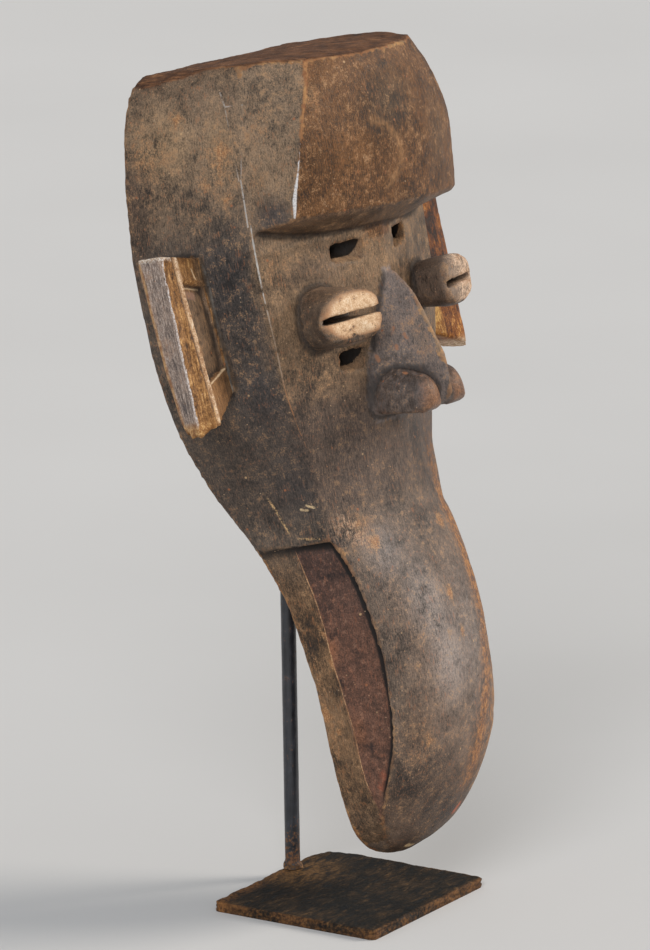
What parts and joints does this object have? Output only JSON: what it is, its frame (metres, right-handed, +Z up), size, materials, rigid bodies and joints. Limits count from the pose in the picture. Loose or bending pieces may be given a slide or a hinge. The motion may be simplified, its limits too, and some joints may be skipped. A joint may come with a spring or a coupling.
{
  "type": "carved wooden face mask on a display stand",
  "caption": "Carved wooden face mask with a long spoon-shaped bill, overhanging forehead, tubular slit eyes and strap ears, hollow behind, held upright by a steel rod on a flat steel plate.",
  "frame": {"origin": "centre of the underside of the base plate", "axes": "+Z up along the rod; -Y the way the face looks; +X the mask's own left"},
  "size_m": [0.2207, 0.1404, 0.3992],
  "materials": {
    "wood": "dark patinated, rubbed satin, with worn tan edges",
    "rod_steel": "black satin",
    "plate_steel": "rust-blackened, matt"
  },
  "bodies": {
    "root": {"mask": "wood", "rod": "rod_steel", "base_plate": "plate_steel"}
  },
  "joints": []
}
